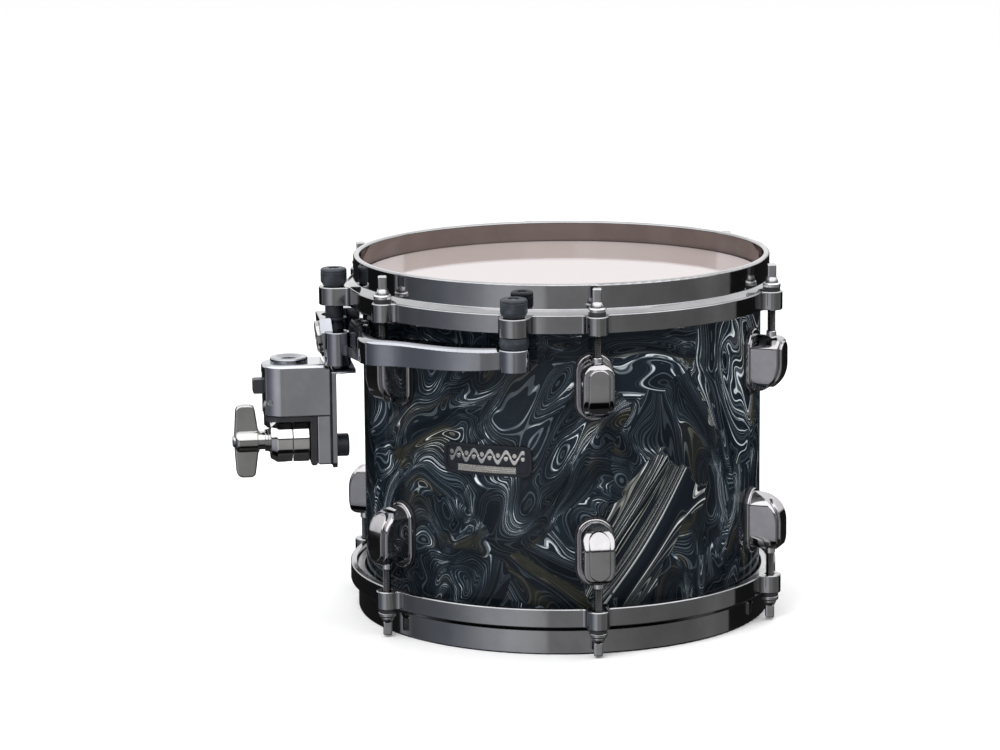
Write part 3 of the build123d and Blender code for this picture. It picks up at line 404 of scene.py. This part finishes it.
def ornament(g):
    """Badge: a bright running scroll over a ridged bar, on a dark ground. No lettering."""
    low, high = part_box("badge_plate")
    middle = (low + high) / 2
    start = math.atan2(middle.y, middle.x) * WRAP_R / MM
    along, z, _ = g.split(g.unrolled())
    u = g.math("SUBTRACT", along, start)
    v = g.math("SUBTRACT", z, middle.z / MM)
    cloud, _ = g.noise(g.place(), 2.5, 2, 0.5)

    def stroke(distance, half):
        return g.within(distance, half, 0.22)

    above = g.math("SUBTRACT", v, SCROLL_UP)
    wave = g.math("SINE", g.math("MULTIPLY", u, math.tau / SCROLL_PITCH))
    scroll = g.math("SUBTRACT", above, g.math("MULTIPLY", wave, SCROLL_TALL))
    across = g.math("PINGPONG", g.math("SUBTRACT", u, SCROLL_PITCH / 4), SCROLL_PITCH / 4)
    ring = g.vector("LENGTH", g.join(across, g.math("ADD", above, wave), 0.0))
    pearls = g.within(ring, PEARL_R, 0.2)
    lines = g.math("MAXIMUM", stroke(scroll, SCROLL_HALF_STROKE), pearls)
    lines = g.math("MULTIPLY", lines, stroke(u, SCROLL_HALF_LENGTH))
    under = g.math("ADD", v, BAR_DOWN)
    bar = g.math("MULTIPLY", stroke(under, BAR_HALF_HEIGHT), stroke(u, BAR_HALF_LENGTH))
    ridge = g.step(g.math("PINGPONG", under, RIDGE_PITCH), 0.2, 0.45)
    raised = g.math("MAXIMUM", lines, g.math("MULTIPLY", bar, g.blend(ridge, 0.35, 1.0)))
    bright = g.mix(cloud, (0.80, 0.78, 0.74), (0.50, 0.49, 0.46))
    g.surface(Base_Color=g.mix(raised, (0.012, 0.014, 0.018), bright), Metallic=raised,
              Roughness=g.blend(cloud, 0.14, 0.3), Specular_IOR_Level=0.15,
              Normal=g.bump(raised, 0.9, 0.8, g.bevel(0.3)))


def film(g):
    """Clear drumhead: mirror-like at a low angle, with a faint haze, and clear to the inside; in
    reflections it shows a painted wood brown.
    """
    place = g.place()
    cloud, _ = g.noise(place, 60, 2, 0.5)
    haze = g.node("ShaderNodeBsdfDiffuse")
    g.feed(haze.inputs["Color"], g.mix(cloud, (0.95, 0.80, 0.75), (0.90, 0.76, 0.71)))
    mirror = g.node("ShaderNodeBsdfGlossy")
    g.feed(mirror.inputs["Color"], g.mix(cloud, (0.56, 0.585, 0.62), (0.59, 0.615, 0.65)))
    g.feed(mirror.inputs["Roughness"], g.blend(cloud, 0.02, 0.05))
    clear = g.node("ShaderNodeBsdfTransparent")
    g.feed(clear.inputs["Color"], (0.96, 0.95, 0.95))
    edge = g.node("ShaderNodeLayerWeight")
    g.feed(edge.inputs["Blend"], 0.5)
    grazing = g.ramp(edge.outputs["Facing"], [(0.0, 0.06), (0.5, 0.12), (0.8, 0.52), (1.0, 0.95)])

    def layer(factor, under, over):
        made = g.node("ShaderNodeMixShader")
        g.feed(made.inputs[0], factor)
        g.tree.links.new(under, made.inputs[1])
        g.tree.links.new(over, made.inputs[2])
        return made.outputs[0]

    body = layer(g.ramp(edge.outputs["Facing"], [(0.0, 0.06), (0.5, 0.15), (0.8, 0.65), (1.0, 0.8)]),
                 clear.outputs[0], haze.outputs[0])
    whole = layer(grazing, body, mirror.outputs[0])
    # painted reflection: mirrored in polished parts such as the hoop's wall, the head shows a painted brown
    # of the wood below it in place of its clear film
    painted_wood_reflection = g.node("ShaderNodeBsdfDiffuse")
    g.feed(painted_wood_reflection.inputs["Color"], g.mix(cloud, (0.30, 0.225, 0.205), (0.22, 0.16, 0.14)))
    path = g.node("ShaderNodeLightPath")
    seen = layer(g.math("MULTIPLY", path.outputs["Is Glossy Ray"], 0.9), whole, painted_wood_reflection.outputs[0])
    out = g.node("ShaderNodeOutputMaterial")
    g.tree.links.new(seen, out.inputs[0])


finishes = {
    "wrap": material("wrap_film", marble),
    "wood": material("shell_ply", wood),
    "film": material("head_film", film),
    "hoop": material("hoop_plating", plated, (0.365, 0.365, 0.375), 0.06),
    "lug": material("lug_plating", plated, (0.42, 0.41, 0.42), 0.05),
    "mount": material("mount_plating", plated, (0.36, 0.37, 0.40), 0.07),
    "bracket": material("bracket_plating", plated, (0.50, 0.51, 0.54), 0.14, 0.6, 0.08),
    "chrome": material("clamp_chrome", plated, (0.72, 0.71, 0.70), 0.05, 0.5, 0.05),
    "wing": material("wing_chrome", plated, (0.47, 0.47, 0.46), 0.08, 0.8, 0.05),
    "badge": material("badge_metal", ornament),
    "medallion": material("medallion_metal", plated, (0.45, 0.45, 0.45), 0.12, 0.25),
    "rod": material("rod_steel", steel, (0.50, 0.50, 0.51), 0.22, 0.18),
    "nut": material("nut_steel", steel, (0.80, 0.80, 0.80), 0.18),
    "screw": material("screw_steel", steel, (0.50, 0.50, 0.51)),
    "plate": material("plate_steel", plated, (0.40, 0.41, 0.44), 0.12),
    "rubber": material("mount_rubber", rubber, (0.013, 0.017, 0.024)),
    "gasket": material("gasket_rubber", rubber, (0.006, 0.006, 0.008)),
    "nylon": material("clamp_nylon", nylon, (0.012, 0.012, 0.014)),
    "brass": material("vent_brass", brass),
    "ring": material("flesh_ring_metal", steel, (0.62, 0.62, 0.63), 0.3),
}

FINISH_NODES = {
    "wood": ["shell"],
    "wrap": ["shell_wrap"],
    "brass": ["vent_grommet"],
    "badge": ["badge_plate"],
    "medallion": ["mount_medallion"],
    "lug": ["upper_lugs", "lower_lugs"],
    "hoop": ["batter_hoop", "resonant_hoop"],
    "film": ["batter_head_film", "resonant_head_film"],
    "ring": ["batter_flesh_ring", "resonant_flesh_ring"],
    "nut": ["upper_swivel_nuts", "lower_swivel_nuts", "batter_rod_washers"],
    "gasket": ["upper_lug_gaskets", "lower_lug_gaskets", "body_gasket"],
    "rubber": ["mount_caps", "mount_side_spacers", "mount_centre_spacer", "shell_bumper"],
    "mount": ["mount_arm_front", "mount_arm_rear", "mount_centre_casting", "rod_sleeve"],
    "plate": ["bracket_plate"],
    "bracket": ["bracket_body"],
    "chrome": ["clamp_inner_jaw", "clamp_outer_jaw"],
    "wing": ["wing_nut"],
    "nylon": ["batter_nylon_washers", "resonant_nylon_washers", "clamp_liner", "release_lever"],
    "screw": ["lug_screws", "lug_screw_washers", "resonant_rod_washers", "mount_bolts", "mount_arm_screws",
              "post_bolt", "bracket_body_screws", "bumper_screw", "clamp_eye_bolt", "wing_washer",
              "lever_pin", "lever_spring"],
}
NODE_FINISH = {node: finish for finish, group in FINISH_NODES.items() for node in group}
for name, item in nodes.items():
    finish = NODE_FINISH.get(name, "rod")
    item.data.materials.clear()
    item.data.materials.append(finishes[finish])


# ---------------------------------------------------------------- tension rods with cut threads
def mesh_piece(name, verts, faces, finish):
    """A new object from corner points and faces, in one finish."""
    mesh = bpy.data.meshes.new(name)
    mesh.from_pydata(verts, [], faces)
    mesh.materials.append(finishes[finish])
    piece = bpy.data.objects.new(name, mesh)
    bpy.context.scene.collection.objects.link(piece)
    return piece


def loft(rings):
    """Closed rings of equal length joined into a solid with end caps."""
    count = len(rings[0])
    verts = [v for ring in rings for v in ring]
    faces = []
    for i in range(len(rings) - 1):
        a = i * count
        for j in range(count):
            k = (j + 1) % count
            faces.append((a + j, a + k, a + count + k, a + count + j))
    faces.append(tuple(reversed(range(count))))
    last = (len(rings) - 1) * count
    faces.append(tuple(last + j for j in range(count)))
    return verts, faces


def thread_radius(z, turn):
    """Radius of a right-hand 7/32 in thread at a height and an angle."""
    phase = (z / PITCH - turn / math.tau) % 1.0
    ridge = abs(2 * phase - 1)
    return ROD_R - THREAD_DEPTH * min(1.0, max(0.0, 1.35 * (1 - ridge)))


def superellipse(half, turn, power):
    """Radius at an angle of a rounded square; a higher power gives sharper corners."""
    c, s = abs(math.cos(turn)), abs(math.sin(turn))
    return half / (c ** power + s ** power) ** (1 / power)


def tension_rod(node, side, key_turn):
    """One rod from its threaded end to its key. `side` is 1 for the top rods and -1 for the bottom ones."""
    low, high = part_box(node)
    centre = (low + high) / 2
    if side > 0:
        end, key_top = low.z, high.z
    else:
        end, key_top = high.z, low.z
    seat = key_top - side * HEAD_H
    facing = math.atan2(centre.y, centre.x)

    def ring(z, radius_of):
        turns = [math.tau * j / THREAD_SEGMENTS for j in range(THREAD_SEGMENTS)]
        return [(centre.x + radius_of(z, t) * math.cos(t + facing),
                 centre.y + radius_of(z, t) * math.sin(t + facing), z) for t in turns]

    rings = []
    length = abs(seat - end)
    steps = int(length / PITCH * STEPS_A_TURN)
    for i in range(steps + 1):
        along = length * i / steps
        z = end + side * along
        tip = min(1.0, TIP_SCALE + (1 - TIP_SCALE) * along / TIP_H)
        plain = length - along < PLAIN_NECK
        rings.append(ring(z, lambda h, t: 0.995 * ROD_R if plain else tip * thread_radius(h, t)))
    for up, radius in COLLAR_RINGS:
        rings.append(ring(seat + side * up * MM, lambda h, t, r=radius: r * MM))
    for up, scale, power in KEY_RINGS:
        rings.append(ring(seat + side * up * MM,
                          lambda h, t, s=scale, p=power: s * superellipse(KEY / 2, t - key_turn, p)))
    verts, faces = loft(rings)
    if side < 0:
        faces = [tuple(reversed(f)) for f in faces]
    piece = mesh_piece(node.replace("tension_rod", "threaded_rod"), verts, faces, "rod")
    for polygon in piece.data.polygons:
        polygon.use_smooth = True
    piece.data.set_sharp_from_angle(angle=math.radians(40))
    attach(piece, node.replace("tension_", ""))
    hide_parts(node)
    return piece


for number, degrees in enumerate(KEY_TURNS, start=1):
    tension_rod(f"batter_tension_rod_{number}", 1, math.radians(degrees))
    tension_rod(f"resonant_tension_rod_{number}", -1, math.radians(degrees))


# ---------------------------------------------------------------- studio
FLOOR_HALF = 30
LENS_MM = 119.2
SENSOR_MM = 36.0
CAMERA_AT = Vector((-0.319, -2.069, 0.5551))
CAMERA_AIM = Vector((-0.0393, 0.0061, 0.1493))
CAMERA_TILT = -0.537                 # degrees


def floor():
    """White paper, far larger than the picture."""
    half = FLOOR_HALF
    verts = [(x, y, 0) for x, y in ((-half, -half), (half, -half), (half, half), (-half, half))]
    mesh = bpy.data.meshes.new("floor")
    mesh.from_pydata(verts, [], [(0, 1, 2, 3)])
    item = bpy.data.objects.new("floor", mesh)
    bpy.context.scene.collection.objects.link(item)
    made = bpy.data.materials.new("floor_paper")
    made.use_nodes = True
    g = Graph(made.node_tree)
    g.surface(Base_Color=(0.985, 0.985, 0.985), Roughness=0.9, Specular_IOR_Level=0.0)
    mesh.materials.append(made)
    item.visible_glossy = False


def studio_world():
    """White to the camera; for reflections, panels that stay put in relation to the camera."""
    world = bpy.data.worlds.new("studio")
    bpy.context.scene.world = world
    world.use_nodes = True
    g = Graph(world.node_tree)
    ray = g.node("ShaderNodeTexCoord").outputs["Generated"]
    axis = g.node("ShaderNodeVectorTransform", convert_from="CAMERA", convert_to="WORLD")
    axis.vector_type = "VECTOR"
    g.feed(axis.inputs[0], (0, 0, -1))
    fx, fy, _ = g.split(axis.outputs[0])
    ahead = g.vector("NORMALIZE", g.join(fx, fy, 0.0))
    ax, ay, _ = g.split(ahead)
    rx, ry, up = g.split(ray)
    level = g.vector("NORMALIZE", g.join(rx, ry, 0.0))
    lx, ly, _ = g.split(level)
    dot = g.vector("DOT_PRODUCT", level, ahead)
    cross = g.math("SUBTRACT", g.math("MULTIPLY", ax, ly), g.math("MULTIPLY", ay, lx))
    turn = g.math("DIVIDE", g.math("ARCTAN2", cross, dot), math.tau)
    height = g.math("ADD", g.math("MULTIPLY", up, 0.5), 0.5)

    # camera side: grey walls that fall off from a bright left panel, under a white ceiling
    def at(degrees):
        return 0.5 + degrees / 360

    walls = g.ramp(g.math("ADD", turn, 0.5), [
        (0.0, 0.10), (at(-100), (0.34, 0.36, 0.40)), (at(-94), (0.12, 0.125, 0.14)),
        (at(-86), (0.15, 0.16, 0.18)), (at(-70), (0.20, 0.215, 0.245)), (at(-56), (0.34, 0.355, 0.395)),
        (at(-40), (0.60, 0.61, 0.65)), (at(-30), (0.69, 0.70, 0.73)), (at(-11), (0.60, 0.60, 0.61)),
        (at(-8.5), (0.35, 0.35, 0.355)), (at(6), 0.34), (at(18), 0.40), (at(22), 0.28), (at(45), 0.22),
        (at(75), 0.20), (at(88), 0.27), (at(96), 0.22), (1.0, 0.10)])
    below = g.ramp(height, [
        (0.0, 0.20), (0.035, 0.17), (0.05, 0.015), (0.15, 0.015), (0.18, 0.85), (0.4, 1.0)])
    room = g.mix(1.0, walls, below, "MULTIPLY")
    line = g.mix(g.step(height, 0.575, 0.590), room, (0.03, 0.03, 0.035))
    front = g.mix(g.step(height, 0.625, 0.665), line, (2.3, 2.3, 2.32))
    back = g.ramp(height, [
        (0.0, 0.05), (0.40, 0.015), (0.505, 0.012), (0.53, 1.15), (0.66, 1.3), (0.86, 1.4), (1.0, 1.25)])
    glossy = g.mix(g.step(dot, -0.26, -0.235), back, front)
    path = g.node("ShaderNodeLightPath")
    soft = g.mix(path.outputs["Is Glossy Ray"], (1.0, 1.0, 1.0), glossy)
    lit = g.mix(path.outputs["Is Camera Ray"], soft, (1.0, 1.0, 1.0))
    shade = g.node("ShaderNodeBackground")
    g.feed(shade.inputs["Color"], lit)
    g.feed(shade.inputs["Strength"], 1.0)
    out = g.node("ShaderNodeOutputWorld")
    g.tree.links.new(shade.outputs[0], out.inputs[0])


def softbox(name, place, target, size, power):
    """A rectangular lamp that lights the drum and doesn't show in its polished parts."""
    data = bpy.data.lights.new(name, "AREA")
    data.shape = "RECTANGLE"
    data.size, data.size_y = size
    data.energy = power
    lamp = bpy.data.objects.new(name, data)
    lamp.location = place
    lamp.rotation_euler = (Vector(target) - Vector(place)).to_track_quat("-Z", "Y").to_euler()
    lamp.visible_glossy = False
    lamp.visible_camera = False
    bpy.context.scene.collection.objects.link(lamp)


def camera():
    """A long lens, a little above the rim and to the left of the front, with a slight tilt."""
    data = bpy.data.cameras.new("camera")
    data.lens = LENS_MM
    data.sensor_width = SENSOR_MM
    item = bpy.data.objects.new("camera", data)
    turn = (CAMERA_AIM - CAMERA_AT).to_track_quat("-Z", "Y").to_matrix().to_4x4()
    tilt = Matrix.Rotation(math.radians(CAMERA_TILT), 4, "Z")
    item.matrix_world = Matrix.Translation(CAMERA_AT) @ turn @ tilt
    bpy.context.scene.collection.objects.link(item)
    bpy.context.scene.camera = item


floor()
studio_world()
softbox("key", (-0.9, -1.2, 1.5), (0, 0, 0.1), (1.2, 0.9), 18)
softbox("top", (0.3, 0.4, 1.7), (0, 0, 0.1), (1.6, 1.6), 14)
camera()
bpy.context.scene.view_settings.view_transform = "Standard"
